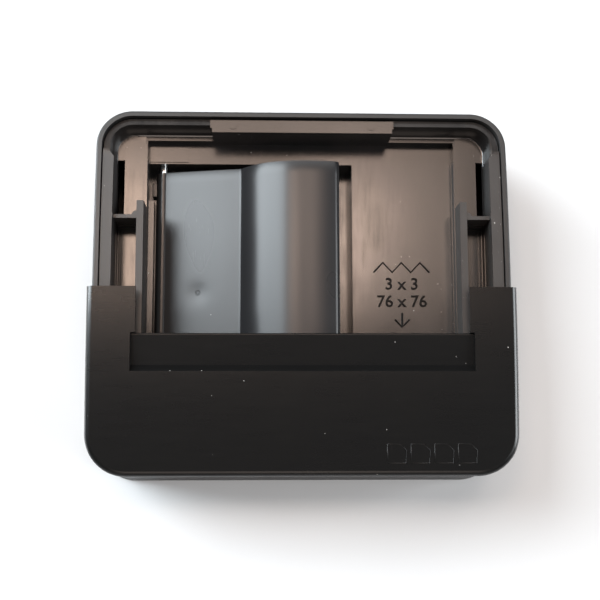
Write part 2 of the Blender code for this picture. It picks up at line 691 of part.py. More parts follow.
def on_axis(name, at, piece):
    """Parent a moving piece to an empty on its joint's axis."""
    axis = bpy.data.objects.new(name, None)
    axis.location = Vector(at) * MM
    model.objects.link(axis)
    bpy.context.view_layer.update()
    piece.parent = axis
    piece.matrix_parent_inverse = axis.matrix_world.inverted()


base_shell()
tray()
bottom_plate()
weights()
screws()
feet()
hinge_pin()
coil_spring("spring_front", -1)
coil_spring("spring_rear", 1)
on_axis("follower_hinge", (PIN_X, 0, PIN_Z), follower())
on_axis("cover_slide", (0, -CO_Y / 2, COVER_TOP), front_cover())
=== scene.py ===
# %% [markdown]
# A desk dispenser for pop-up notes, with its pad taken out. It is black plastic all over: a glossy
# inner tray with a pad pocket, a sprung leaf that lifts the pad, and a satin shell and front cover.
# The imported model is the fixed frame. It gives every size and says what moves, and this script
# gives it softened edges, moulding marks and finishes.

# %% Load the frame
import math

import bmesh
import bpy
from mathutils import Matrix, Vector


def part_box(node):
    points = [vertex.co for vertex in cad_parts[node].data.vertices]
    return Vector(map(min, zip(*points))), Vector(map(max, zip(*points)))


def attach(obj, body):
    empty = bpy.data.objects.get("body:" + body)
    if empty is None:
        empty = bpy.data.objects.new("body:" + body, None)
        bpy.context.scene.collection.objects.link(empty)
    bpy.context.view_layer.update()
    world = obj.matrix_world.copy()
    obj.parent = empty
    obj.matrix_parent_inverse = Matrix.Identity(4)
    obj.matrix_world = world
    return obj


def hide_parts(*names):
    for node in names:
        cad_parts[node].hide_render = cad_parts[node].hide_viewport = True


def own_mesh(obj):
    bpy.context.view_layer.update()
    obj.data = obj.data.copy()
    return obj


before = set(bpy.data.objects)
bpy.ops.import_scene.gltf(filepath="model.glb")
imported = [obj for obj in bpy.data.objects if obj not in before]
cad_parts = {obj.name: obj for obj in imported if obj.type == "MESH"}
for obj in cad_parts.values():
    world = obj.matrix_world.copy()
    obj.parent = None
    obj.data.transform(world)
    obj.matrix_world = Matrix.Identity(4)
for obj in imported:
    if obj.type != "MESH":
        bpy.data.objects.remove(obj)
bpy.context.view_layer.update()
MM = 0.001

# %% [markdown]
# The camera looks down from nearly overhead, a little in front of the dispenser's middle. Its lens
# is fairly long, so the top of the cover is only slightly larger than the pocket's floor. Its right
# and up directions are worked out from the line of sight, because a tracking constraint has no
# steady idea of up when it looks straight down.

# %% Camera
EYE = Vector((-10.4, -41.3, 290.8)) * MM
SIGHT = Vector((0.46, 1.39, 0.0)) * MM
ROLL = -0.0024

camera = bpy.data.objects.new("camera", bpy.data.cameras.new("camera"))
camera.data.sensor_width = 36.0
camera.data.lens = 66.3
camera.data.clip_start = 0.01
bpy.context.scene.collection.objects.link(camera)
bpy.context.scene.camera = camera

ahead = (SIGHT - EYE).normalized()
right = ahead.cross(Vector((0, 1, 0))).normalized()
up = right.cross(ahead)
facing = Matrix((right, up, -ahead)).transposed().to_4x4()
camera.matrix_world = Matrix.Translation(EYE) @ facing @ Matrix.Rotation(ROLL, 4, "Z")
print(f"camera {EYE.z / MM:.0f} mm above the desk, lens {camera.data.lens} mm")

# %% [markdown]
# Node trees are easier to read as sums. The Field class wraps one output socket, and + - * / and **
# on it add the Math nodes. The same class serves the shaders and the Geometry Nodes, because both
# use the same Math node.

# %% Sums of sockets
class Field:
    """A number that varies, held in an output socket of a node tree."""

    def __init__(self, tree, socket):
        self.tree, self.socket = tree, socket

    def math(self, operation, *values, clamp=False):
        node = self.tree.nodes.new("ShaderNodeMath")
        node.operation, node.use_clamp = operation, clamp
        for slot, value in zip(node.inputs, values):
            feed(self.tree, slot, value)
        return Field(self.tree, node.outputs[0])

    def __add__(self, other):
        return self.math("ADD", self, other)

    def __sub__(self, other):
        return self.math("SUBTRACT", self, other)

    def __rsub__(self, other):
        return self.math("SUBTRACT", other, self)

    def __mul__(self, other):
        return self.math("MULTIPLY", self, other)

    def __truediv__(self, other):
        return self.math("DIVIDE", self, other)

    def __pow__(self, other):
        return self.math("POWER", self, other)

    __radd__, __rmul__ = __add__, __mul__

    def above(self, edge, soft=0.0):
        """1 where the value is over the edge and 0 under it, changing over a width of soft."""
        if not soft:
            return self.math("GREATER_THAN", self, edge)
        return self.math("ADD", (self - edge) / soft, 0.5, clamp=True)

    def below(self, edge, soft=0.0):
        return 1 - self.above(edge, soft)


def feed(tree, slot, value):
    """Puts a value on an input socket, or links it to another node's output."""
    if isinstance(value, Field):
        tree.links.new(value.socket, slot)
    elif isinstance(value, bpy.types.NodeSocket):
        tree.links.new(value, slot)
    else:
        slot.default_value = value


def add_node(tree, kind, settings=None, inputs=None):
    """A node of one kind, with its settings made first and then its input sockets fed."""
    node = tree.nodes.new(kind)
    for name, value in (settings or {}).items():
        if name == "stops":
            ramp = node.color_ramp.elements
            while len(ramp) < len(value):
                ramp.new(0.5)
            for element, (place, grey) in zip(ramp, value):
                element.position, element.color = place, (grey, grey, grey, 1)
        else:
            setattr(node, name, value)
    for name, value in (inputs or {}).items():
        feed(tree, node.inputs[name], value)
    return node


# %% [markdown]
# Every finish here is one moulding material seen in a different state, so they share a small class.
# It holds the tree, gives the place on the piece in millimetres, and has the few patterns that
# black plastic shows: slow waves where the wall shrank, fine grain, scratches and dust.

# %% Finishes
class Finish:
    """A material in the making: its node tree, its shader and the patterns that mouldings share."""

    def __init__(self, name, colour, roughness, metallic=0.0):
        self.material = bpy.data.materials.new(name)
        self.material.use_nodes = True
        self.tree = self.material.node_tree
        self.shader = self.tree.nodes["Principled BSDF"]
        self.set("Base Color", (*colour, 1.0))
        self.set("Roughness", roughness)
        self.set("Metallic", metallic)
        self.place = self.node("ShaderNodeTexCoord").outputs["Object"]
        axes = self.node("ShaderNodeSeparateXYZ", inputs={"Vector": self.place})
        self.x, self.y, self.z = (Field(self.tree, axes.outputs[i]) * 1000 for i in range(3))

    def node(self, kind, settings=None, inputs=None):
        return add_node(self.tree, kind, settings, inputs)

    def set(self, name, value):
        feed(self.tree, self.shader.inputs[name], value)

    def noise(self, size, detail=2.0, stretch=(1, 1, 1), seed=0.0):
        """Soft random values from 0 to 1, with features about size millimetres across."""
        moved = self.node("ShaderNodeMapping", inputs={
            "Vector": self.place, "Location": (seed, seed, seed), "Scale": stretch})
        made = self.node("ShaderNodeTexNoise", inputs={
            "Vector": moved.outputs[0], "Scale": 1 / (size * MM), "Detail": detail})
        return Field(self.tree, made.outputs["Fac"])

    def specks(self, spacing, radius, share, seed=0.0):
        """Round specks on a random grid: a share of its cells, from 0 to 1, holds one."""
        moved = self.node("ShaderNodeMapping", inputs={
            "Vector": self.place, "Location": (seed, seed * 0.7, seed * 0.3)})
        cells = self.node("ShaderNodeTexVoronoi", inputs={
            "Vector": moved.outputs[0], "Scale": 1 / (spacing * MM)})
        chance = self.node("ShaderNodeSeparateColor", inputs={"Color": cells.outputs["Color"]})
        near = Field(self.tree, cells.outputs["Distance"])
        pick, size = Field(self.tree, chance.outputs[0]), Field(self.tree, chance.outputs[1])
        return near.below(radius / spacing * (0.4 + size), 0.06) * pick.math("LESS_THAN", pick, share)

    def blend(self, mask, low, high):
        """A colour that goes from low to high as the mask goes from 0 to 1."""
        made = self.node("ShaderNodeMix", {"data_type": "RGBA"}, {0: mask})
        for index, colour in ((6, low), (7, high)):
            feed(self.tree, made.inputs[index], (*colour, 1) if isinstance(colour, tuple) else colour)
        return made.outputs[2]

    def relief(self, height, depth, under=None):
        """Bumps the surface by a height pattern, depth millimetres from low to high."""
        made = self.node("ShaderNodeBump", inputs={
            "Height": height, "Distance": depth * MM, "Strength": 1.0})
        if under is not None:
            feed(self.tree, made.inputs["Normal"], under)
        return made.outputs["Normal"]

    def finish(self, **final):
        for name, value in final.items():
            self.set(name.replace("_", " "), value)
        print("finish:", self.material.name, len(self.tree.nodes), "nodes")
        return self.material


# %% [markdown]
# The tray is glossy, straight from a polished mould. Its reflections are not straight: the floor
# sank a little between the walls as it cooled, which bends them slowly. Use has left fine scratches
# along the way notes are pulled, and white paper dust that gathers in the right front of the pocket
# and along the right side rib. The upright walls are duller than the floor, because they were drawn
# against the mould as it opened.

# %% Tray plastic
DUST = (0.62, 0.60, 0.57)
POCKET_WALLS = (19.7, 22.2)  # heights of the pocket's walls, in millimetres
RIB_WALLS = 23.3  # the walls above the deck start here
RIB_TOPS = 29.6
REAR = 33  # the rear of the tray, past the ribs


def tray_plastic():
    made = Finish("tray_gloss_black", (0.012, 0.011, 0.011), 0.2)
    waves = made.noise(24, 1.5, (1, 0.45, 1), seed=3.1)
    grain = made.noise(0.5, 3, seed=1.7)
    drag = made.noise(0.8, 2, (1, 0.1, 1), seed=5.0).above(0.60, 0.3)
    corner = made.x.above(24, 20) * made.y.below(4, 30)
    side_rib = made.x.above(44.5, 2)
    dust = made.specks(1.5, 0.08, 0.04 + 0.45 * corner * corner + 0.4 * side_rib, seed=2.0)
    fine = made.specks(0.7, 0.045, 0.02 + 0.25 * corner + 0.25 * side_rib, seed=7.0)
    mask = (dust + fine).math("MINIMUM", dust + fine, 1.0)
    smear = made.noise(9, 3, seed=9.0)
    low, high = POCKET_WALLS
    walls = made.z.above(low, 0.3) * made.z.below(high, 0.3) + made.z.above(RIB_WALLS, 0.3)
    drawn = walls * made.y.below(REAR, 2)
    tops = made.z.above(RIB_TOPS, 0.3) * made.y.below(REAR, 2)
    colour = made.blend(smear.above(0.5, 0.5), (0.010, 0.0092, 0.009), (0.019, 0.0165, 0.0155))
    return made.finish(
        IOR=1.58,
        Base_Color=made.blend(mask, colour, DUST),
        Roughness=0.12 + 0.11 * smear + 0.04 * drag + 0.4 * mask + 0.34 * drawn - 0.06 * tops,
        Normal=made.relief(grain, 0.003, made.relief(waves, 0.16)),
    )


TRAY_PLASTIC = tray_plastic()

# %% [markdown]
# The leaf is the shiniest piece, because every note is dragged over it and polishes it. The gate
# where the plastic was injected left a tiny ring in the flat panel, and the panel is pulled in
# around it. That shallow dimple is a bump that dies away with the distance from the gate. The
# ring's groove is also coloured darker in the base colour, as painted shade.

# %% Leaf plastic
GATE = (-25.7, 0.4)  # on the flat panel, in millimetres from the middle


def leaf_plastic():
    made = Finish("leaf_gloss_black", (0.013, 0.013, 0.014), 0.16)
    east, north = made.x - GATE[0], made.y - GATE[1]
    away = made.x.math("SQRT", east * east + north * north)
    pulled = made.x.math("EXPONENT", (away * away) * -0.16)
    ring = away.below(0.62, 0.12) * away.above(0.3, 0.1)
    waves = made.noise(17, 1.0, (1, 0.5, 1), seed=4.4)
    grain = made.noise(0.6, 2, seed=8.0)
    specks = made.specks(3.2, 0.09, 0.05, seed=6.0)
    scratch = made.noise(0.3, 2, (1, 0.06, 1), seed=11.0).above(0.70, 0.05)
    # painted shade: the gate ring is coloured darker, standing in for the shade in its groove
    gate_ring_shade = made.blend(ring, (0.013, 0.013, 0.014), (0.002, 0.002, 0.002))
    return made.finish(
        IOR=1.46,
        Base_Color=made.blend(specks, gate_ring_shade, DUST),
        Roughness=0.26 + 0.05 * waves + 0.03 * scratch + 0.3 * specks,
        Normal=made.relief(grain, 0.002, made.relief(
            ring, -0.06, made.relief(waves - 0.9 * pulled, 0.12))),
    )


LEAF_PLASTIC = leaf_plastic()

# %% [markdown]
# The shell and the cover came from a mould with a fine satin texture, so they reflect only blurred
# light. Handling has rubbed the texture smoother in patches and left a few scratches and specks of
# dust. One function makes both finishes. The cover has more dust, and its side edges, where hands
# pick it up, are rubbed to a gloss that is made as a thin clear coat.

# %% Satin plastic
def satin_plastic(name, tone, roughness, speck_share, polish, shine):
    made = Finish(name, (tone, tone, tone), roughness)
    rubbed = made.noise(14, 3, seed=2.5)
    texture = made.noise(0.22, 2, seed=0.4)
    streaks = made.noise(1.1, 2, (0.12, 1, 1), seed=6.6)
    scratch = made.noise(0.25, 1.0, (0.5, 0.03, 1), seed=9.3).above(0.76, 0.03)
    specks = made.specks(2.4, 0.07, speck_share, seed=1.2)
    edge = made.x.math("ABSOLUTE", made.x).above(49.8, 0.6)
    colour = made.blend(rubbed, (tone * 0.8,) * 3, (tone * 1.25, tone * 1.2, tone * 1.2))
    return made.finish(
        Base_Color=made.blend(specks, colour, DUST),
        Roughness=roughness - 0.08 * rubbed + 0.05 * streaks + 0.05 * scratch + 0.3 * specks,
        Coat_Weight=polish * edge,
        Coat_Roughness=0.14,
        Normal=made.relief(texture, 0.006),
        Specular_IOR_Level=shine,
    )


SHELL_PLASTIC = satin_plastic("shell_satin_black", 0.016, 0.42, 0.05, 0.0, 0.5)
COVER_PLASTIC = satin_plastic("cover_satin_black", 0.004, 0.30, 0.22, 1.0, 0.24)

# %% [markdown]
# The pieces underneath are plainer: a matt plate, rubber feet, bright screws and springs, and rolled
# steel weights. They hardly show, but each still has the grain of its own material.

# %% Plate, rubber and steel
def plate_plastic():
    made = Finish("plate_matt_black", (0.02, 0.02, 0.02), 0.6)
    grain = made.noise(0.3, 2)
    return made.finish(
        Base_Color=made.blend(made.noise(11), (0.016,) * 3, (0.026,) * 3),
        Normal=made.relief(grain, 0.015),
    )


def foot_rubber():
    made = Finish("foot_rubber", (0.03, 0.03, 0.03), 0.85)
    return made.finish(
        Base_Color=made.blend(made.noise(2, 3), (0.02,) * 3, (0.045,) * 3),
        Normal=made.relief(made.noise(0.25, 2), 0.03),
    )


def steel(name, tone, roughness, along):
    made = Finish(name, (tone,) * 3, roughness, metallic=1.0)
    drawn = made.noise(0.4, 3, along)
    return made.finish(
        Base_Color=made.blend(drawn, (tone * 0.85,) * 3, (tone, tone, tone * 0.97)),
        Roughness=roughness - 0.08 + 0.16 * drawn,
    )


PLATE_PLASTIC = plate_plastic()
FOOT_RUBBER = foot_rubber()
BRIGHT_STEEL = steel("bright_steel", 0.62, 0.28, (1, 1, 0.2))
ROLLED_STEEL = steel("rolled_steel", 0.36, 0.5, (0.06, 1, 1))

# %% [markdown]
# The frame's big mouldings have the right shape but knife-sharp edges, and real mouldings never do.
# A copy is cleaned up first: its loose triangles are merged and flat areas become single faces, so
# that a Bevel can run along true edges only. The bevel is a fraction of a millimetre, about what a
# mould leaves, and it is what catches the thin lines of light round every rib.

# %% Softened mouldings
def clean_copy(node):
    """The node's shape as a bmesh with whole faces in place of loose triangles."""
    shape = bmesh.new()
    shape.from_mesh(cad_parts[node].data)
    bmesh.ops.remove_doubles(shape, verts=shape.verts, dist=2e-6)
    bmesh.ops.dissolve_limit(
        shape, angle_limit=math.radians(0.3), verts=shape.verts, edges=shape.edges)
    return shape


def as_piece(name, shape, look):
    mesh = bpy.data.meshes.new(name)
    shape.to_mesh(mesh)
    shape.free()
    piece = bpy.data.objects.new(name, mesh)
    bpy.context.scene.collection.objects.link(piece)
    mesh.materials.clear()
    mesh.materials.append(look)
    return piece


def bake_modifiers(piece):
    """Turns a piece and its modifiers into one plain mesh."""
    bpy.context.view_layer.update()
    done = bpy.data.meshes.new_from_object(
        piece.evaluated_get(bpy.context.evaluated_depsgraph_get()))
    piece.modifiers.clear()
    piece.data = done
    return piece


def soften(piece, width, rows=2, angle=28):
    """Rounds every edge that turns more than the angle, and shades what is left smoothly."""
    bevel = piece.modifiers.new("softened", "BEVEL")
    bevel.width, bevel.segments = width * MM, rows
    bevel.limit_method, bevel.angle_limit = "ANGLE", math.radians(angle)
    bevel.use_clamp_overlap = True
    bake_modifiers(piece)
    return even_shading(piece, 40)


def even_shading(piece, angle):
    """Smooth shading that leaves big flat faces flat, with sharp edges past an angle."""
    piece.data.shade_smooth()
    piece.data.set_sharp_from_angle(angle=math.radians(angle))
    weighted = piece.modifiers.new("even", "WEIGHTED_NORMAL")
    weighted.mode, weighted.weight, weighted.keep_sharp = "FACE_AREA", 100, True
    return bake_modifiers(piece)


def settle(piece, body, slot, *nodes):
    """Hands a finished piece to the frame: what it rides on and what it stands for. The slot is not
    used.
    """
    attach(piece, body)
    if nodes:
        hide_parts(*nodes)
    print(piece.name, "rides on", body, "with", len(piece.data.polygons), "faces")
    return piece


tray = soften(as_piece("tray_moulding", clean_copy("tray"), TRAY_PLASTIC), 0.16)
settle(tray, "base", "tray_plastic", "tray")

# %% [markdown]
# The outer top edges of the shell and the cover have a larger radius than a bevel on a mesh of many
# strips can give cleanly. So each is cut to shape, as if by a form cutter: a solid with the right
# rounded edge is built ring by ring, and the moulding keeps only what lies inside it. The top is
# arched from front to back, so every ring follows that arch too.

# %% Form cutters for the rounded edges
CROWN_RADIUS = 400.0


def side_points(half_x, half_y, corner, turns=16, rows=30):
    """The right half of a rounded rectangle, from the front to the back."""
    arc = [math.radians(90 * i / turns) for i in range(turns + 1)]
    front = [(half_x - corner + corner * math.sin(t), -half_y + corner - corner * math.cos(t))
             for t in arc]
    straight = [(half_x, (half_y - corner) * (2 * i / rows - 1)) for i in range(1, rows)]
    return front + straight + [(x, -y) for x, y in reversed(front)]


def form_cutter(name, half, corner, top, radius, wide_below=None, rows=7):
    """A solid with an arched top and a rounded outer edge. Sizes are in millimetres."""
    rings = []
    if wide_below:
        rings += [(-9.0, -2.0), (-9.0, wide_below), (-0.004, wide_below)]
    else:
        rings.append((-0.004, -2.0))
    for i in range(rows + 1):
        turn = math.radians(90 * i / rows)
        rings.append((radius * (1 - math.cos(turn)) - 0.004, None, radius * (1 - math.sin(turn))))
    shape, last = bmesh.new(), None
    for ring in rings:
        chain = []
        for x, y in side_points(half[0] - ring[0], half[1] - ring[0], corner - ring[0]):
            z = ring[1]
            if z is None:
                z = top - CROWN_RADIUS + math.sqrt(CROWN_RADIUS ** 2 - y ** 2) - ring[2] + 0.004
            chain.append([shape.verts.new(Vector((side * x, y, z)) * MM) for side in (1, -1)])
        loop = [pair[0] for pair in chain] + [pair[1] for pair in reversed(chain)]
        if last is None:
            for a, b in zip(chain, chain[1:]):
                shape.faces.new((a[0], a[1], b[1], b[0]))
        else:
            for i in range(len(loop)):
                j = (i + 1) % len(loop)
                shape.faces.new((last[i], last[j], loop[j], loop[i]))
        last = loop
    for a, b in zip(chain, chain[1:]):
        shape.faces.new((a[0], b[0], b[1], a[1]))
    bmesh.ops.recalc_face_normals(shape, faces=shape.faces)
    return as_piece(name, shape, SHELL_PLASTIC)


def form_edge(piece, cutter, bevel):
    """Cuts a moulding to its cutter, then softens its other edges."""
    cut = piece.modifiers.new("form", "BOOLEAN")
    cut.object, cut.operation, cut.solver = cutter, "INTERSECT", "EXACT"
    bake_modifiers(piece)
    bpy.data.objects.remove(cutter)
    return soften(piece, bevel)


# %% Shell and cover
cover_low, cover_high = (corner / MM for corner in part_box("front_cover"))
shell_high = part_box("base_shell")[1] / MM
COVER_HALF = (cover_high.x, -cover_low.y)
SHELL_HALF = (cover_high.x - 1.15, -cover_low.y - 1.15)

shell = form_edge(
    as_piece("shell_moulding", clean_copy("base_shell"), SHELL_PLASTIC),
    form_cutter("shell_form", SHELL_HALF, 8.6, shell_high.z, 0.5, wide_below=24.0), 0.12)
settle(shell, "base", "shell_plastic", "base_shell")
cover = form_edge(
    as_piece("cover_moulding", clean_copy("front_cover"), COVER_PLASTIC),
    form_cutter("cover_form", COVER_HALF, 9.75, cover_high.z, 1.5), 0.12)
settle(cover, "cover", "cover_plastic", "front_cover")

# %% [markdown]
# The leaf follows a rule: a flat panel that rises gently from the hinge, a crease, and a curve that
# climbs steeply, levels out under the pad and rolls over a little. A grid of faces bent by that rule
# in Geometry Nodes is smoother than anything cut by hand, and its sizes stay named inputs.

# %% Node groups that make shapes
def shape_group(name, sizes):
    """A Geometry Nodes tree with named number inputs, and those inputs as fields."""
    tree = bpy.data.node_groups.new(name, "GeometryNodeTree")
    for label in sizes:
        tree.interface.new_socket(label, in_out="INPUT", socket_type="NodeSocketFloat")
    tree.interface.new_socket("Geometry", in_out="OUTPUT", socket_type="NodeSocketGeometry")
    source = tree.nodes.new("NodeGroupInput")
    return tree, {label: Field(tree, source.outputs[label]) for label in sizes}


def close_group(tree, geometry, look):
    """Ends a tree: real geometry, its finish, and the output."""
    real = add_node(tree, "GeometryNodeRealizeInstances", inputs={"Geometry": geometry})
    dressed = add_node(tree, "GeometryNodeSetMaterial", inputs={
        "Geometry": real.outputs[0], "Material": look})
    end = tree.nodes.new("NodeGroupOutput")
    tree.links.new(dressed.outputs[0], end.inputs[0])


def grow(name, tree, sizes, modifiers=()):
    """A piece made by a node group at the given sizes, turned into a plain mesh."""
    piece = bpy.data.objects.new(name, bpy.data.meshes.new(name))
    bpy.context.scene.collection.objects.link(piece)
    maker = piece.modifiers.new(name, "NODES")
    maker.node_group = tree
    named = {item.name: item.identifier for item in tree.interface.items_tree
             if item.in_out == "INPUT"}
    for label, value in sizes.items():
        maker[named[label]] = float(value)
    for kind, settings in modifiers:
        extra = piece.modifiers.new(kind.lower(), kind)
        for key, value in settings.items():
            setattr(extra, key, value)
    return bake_modifiers(piece)


# %% Leaf by rule
LEAF = {  # metres, as all node inputs are
    "Start": -35.7 * MM, "Flat": 20.7 * MM, "Reach": 23.0 * MM, "Nose": 1.1 * MM,
    "Height": 16.15 * MM, "Flat Rise": 4.8 * MM, "Crest Rise": 8.6 * MM, "Power": 4.0,
    "Roll": 0.8 * MM, "Width": 63.0 * MM,
}


def leaf_group():
    tree, size = shape_group("leaf_rule", LEAF)
    run = size["Flat"] + size["Reach"] + size["Nose"]
    grid = add_node(tree, "GeometryNodeMeshGrid", inputs={
        "Size X": run, "Size Y": size["Width"], "Vertices X": 141, "Vertices Y": 22})
    spot = add_node(tree, "GeometryNodeInputPosition").outputs[0]
    axes = add_node(tree, "ShaderNodeSeparateXYZ", inputs={"Vector": spot})
    x = Field(tree, axes.outputs[0]) + run / 2
    along_flat = x.math("MINIMUM", x / size["Flat"], 1.0)
    share = x.math("ADD", (x - size["Flat"]) / size["Reach"], 0.0, clamp=True)
    past = x.math("MAXIMUM", (x - size["Flat"] - size["Reach"]) / size["Nose"], 0.0)
    rise = (size["Flat Rise"] * along_flat + size["Crest Rise"] * (1 - (1 - share) ** size["Power"])
            - size["Roll"] * share ** 6 - past * past * size["Nose"])
    place = add_node(tree, "ShaderNodeCombineXYZ", inputs={
        "X": x + size["Start"], "Y": Field(tree, axes.outputs[1]), "Z": rise + size["Height"]})
    bent = add_node(tree, "GeometryNodeSetPosition", inputs={
        "Geometry": grid.outputs["Mesh"], "Position": place.outputs[0]})
    close_group(tree, bent.outputs[0], LEAF_PLASTIC)
    return tree


leaf = grow("leaf_panel", leaf_group(), LEAF, [
    ("SOLIDIFY", {"thickness": 1.3 * MM, "offset": -1.0}),
    ("BEVEL", {"width": 0.22 * MM, "segments": 2, "limit_method": "ANGLE",
               "angle_limit": math.radians(50)}),
])
leaf.data.shade_smooth()
leaf.data.set_sharp_from_angle(angle=math.radians(35))
settle(leaf, "follower_leaf", "leaf_plastic", "follower")

# %% [markdown]
# Under its left edge the leaf turns on a barrel, with two short heels that stop it against the tray.
# They are simple turned and cut shapes, so they are built directly and joined into one piece.

# %% Leaf barrel and heels
HINGE_X, HINGE_Z = -34.8, 14.8
LEAF_HALF = 31.5


def add_box(shape, low, high):
    made = bmesh.ops.create_cube(shape, size=1.0)["verts"]
    low, high = Vector(low) * MM, Vector(high) * MM
    bmesh.ops.scale(shape, vec=high - low, verts=made)
    bmesh.ops.translate(shape, vec=(low + high) / 2, verts=made)
    return made


def add_rod(shape, radius, start, end, sides=32):
    start, end = Vector(start) * MM, Vector(end) * MM
    made = bmesh.ops.create_cone(shape, cap_ends=True, segments=sides, radius1=radius * MM,
                                 radius2=radius * MM, depth=(end - start).length)["verts"]
    turn = (end - start).to_track_quat("Z", "Y").to_matrix().to_4x4()
    bmesh.ops.transform(shape, matrix=Matrix.Translation((start + end) / 2) @ turn, verts=made)
    return made


barrel_shape = bmesh.new()
add_rod(barrel_shape, 1.85, (HINGE_X, -LEAF_HALF, HINGE_Z), (HINGE_X, LEAF_HALF, HINGE_Z))
for end in (-1, 1):
    add_box(barrel_shape, (-37.6, end * 27.25 - 1.75, 13.7), (-35.4, end * 27.25 + 1.75, 15.5))
barrel = soften(as_piece("leaf_barrel", barrel_shape, LEAF_PLASTIC), 0.15)
settle(barrel, "follower_leaf", "leaf_plastic")

# %% [markdown]
# Each spring is a wire that follows a helix, so it is a path with a round profile. The ends close up
# flat, as ground springs do, by letting the climb start and stop slowly.

# %% Springs
SPRING = {"X": 3.0 * MM, "Y": 14.0 * MM, "Low": 10.7 * MM, "High": 26.0 * MM,
          "Radius": 3.1 * MM, "Wire": 0.35 * MM, "Turns": 6.5}


def spring_group():
    tree, size = shape_group("coil_rule", SPRING)
    steps = 260
    line = add_node(tree, "GeometryNodeMeshLine", {"mode": "OFFSET"}, {"Count": steps + 1})
    index = Field(tree, add_node(tree, "GeometryNodeInputIndex").outputs[0])
    share = index / steps
    turn = share * size["Turns"] * (2 * math.pi)
    climb = share.math("SMOOTH_MIN", share * 1.25 - 0.03, 1.0, 0.08)
    climb = climb.math("SMOOTH_MAX", climb - 0.09, 0.0, 0.08)
    place = add_node(tree, "ShaderNodeCombineXYZ", inputs={
        "X": size["X"] + size["Radius"] * turn.math("COSINE", turn),
        "Y": size["Y"] + size["Radius"] * turn.math("SINE", turn),
        "Z": size["Low"] + (size["High"] - size["Low"]) * climb})
    helix = add_node(tree, "GeometryNodeSetPosition", inputs={
        "Geometry": line.outputs[0], "Position": place.outputs[0]})
    path = add_node(tree, "GeometryNodeMeshToCurve", inputs={0: helix.outputs[0]})
    ring = add_node(tree, "GeometryNodeCurvePrimitiveCircle", {"mode": "RADIUS"}, {
        "Resolution": 10, "Radius": size["Wire"]})
    wire = add_node(tree, "GeometryNodeCurveToMesh", inputs={
        0: path.outputs[0], 1: ring.outputs[0], "Fill Caps": True})
    close_group(tree, wire.outputs[0], BRIGHT_STEEL)
    return tree


coil = spring_group()
for side, node in ((-1, "spring_front"), (1, "spring_rear")):
    low, high = (corner.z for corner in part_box(node))
    spring = grow("coil_" + node.split("_")[1], coil, SPRING | {
        "Y": side * SPRING["Y"], "Low": low + SPRING["Wire"], "High": high - SPRING["Wire"]})
    spring.data.shade_smooth()
    settle(spring, "base", "bright_steel", node)
    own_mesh(spring)

# %% [markdown]
# The pocket's floor carries raised marks that tell which pad to buy: here a folded-pad symbol, the
# pad's size in numbers and an arrow to the slot. The strokes are thin ridges with round tops. The
# fold symbol is a zigzag of equal legs, so a small node group draws it.

# %% Marks on the pocket floor
FOLDS = {"X": 25.2 * MM, "Y": 6.9 * MM, "Z": 19.06 * MM, "Span": 14.0 * MM, "Rise": 2.5 * MM,
         "Stroke": 0.25 * MM}


def fold_group():
    tree, size = shape_group("fold_symbol", FOLDS)
    legs = 6
    line = add_node(tree, "GeometryNodeMeshLine", {"mode": "OFFSET"}, {"Count": legs + 1})
    index = Field(tree, add_node(tree, "GeometryNodeInputIndex").outputs[0])
    swing = index.math("MODULO", index, 2.0)
    place = add_node(tree, "ShaderNodeCombineXYZ", inputs={
        "X": size["X"] + size["Span"] * (index / legs - 0.5),
        "Y": size["Y"] + size["Rise"] * (swing - 0.5), "Z": size["Z"]})
    zigzag = add_node(tree, "GeometryNodeSetPosition", inputs={
        "Geometry": line.outputs[0], "Position": place.outputs[0]})
    path = add_node(tree, "GeometryNodeMeshToCurve", inputs={0: zigzag.outputs[0]})
    ring = add_node(tree, "GeometryNodeCurvePrimitiveCircle", {"mode": "RADIUS"}, {
        "Resolution": 8, "Radius": size["Stroke"]})
    ridge = add_node(tree, "GeometryNodeCurveToMesh", inputs={
        0: path.outputs[0], 1: ring.outputs[0], "Fill Caps": True})
    close_group(tree, ridge.outputs[0], MARK_PLASTIC)
    return tree


def mark_plastic():
    made = Finish("mark_black", (0.004, 0.004, 0.004), 0.38)
    return made.finish(
        Specular_IOR_Level=0.12,
        Base_Color=made.blend(made.noise(1.5), (0.003,) * 3, (0.006, 0.005, 0.005)),
        Normal=made.relief(made.noise(0.3), 0.01),
    )


MARK_PLASTIC = mark_plastic()
folds = grow("fold_mark", fold_group(), FOLDS)
folds.data.shade_smooth()
settle(folds, "base", "tray_plastic")


def raised_numbers(name, words, height, middle, look, body, slot):
    """Raised figures on a level surface, as one plain mesh in place."""
    letters = bpy.data.curves.new(name, "FONT")
    letters.body, letters.size = words, height * 1.42 * MM
    letters.align_x, letters.align_y = "CENTER", "CENTER"
    letters.extrude, letters.bevel_depth, letters.bevel_resolution = 0.10 * MM, 0.07 * MM, 1
    letters.resolution_u = 4
    flat = bpy.data.objects.new(name, letters)
    bpy.context.scene.collection.objects.link(flat)
    bpy.context.view_layer.update()
    mesh = bpy.data.meshes.new_from_object(
        flat.evaluated_get(bpy.context.evaluated_depsgraph_get()))
    bpy.data.objects.remove(flat)
    mesh.transform(Matrix.Translation(Vector(middle) * MM))
    piece = bpy.data.objects.new(name, mesh)
    bpy.context.scene.collection.objects.link(piece)
    mesh.materials.clear()
    mesh.materials.append(look)
    return settle(piece, body, slot)


raised_numbers("size_mark_inches", "3 x 3", 2.9, (25.2, 2.6, 19.06), MARK_PLASTIC,
               "base", "tray_plastic")
raised_numbers("size_mark_metric", "76 x 76", 2.9, (25.2, -1.8, 19.06), MARK_PLASTIC,
               "base", "tray_plastic")


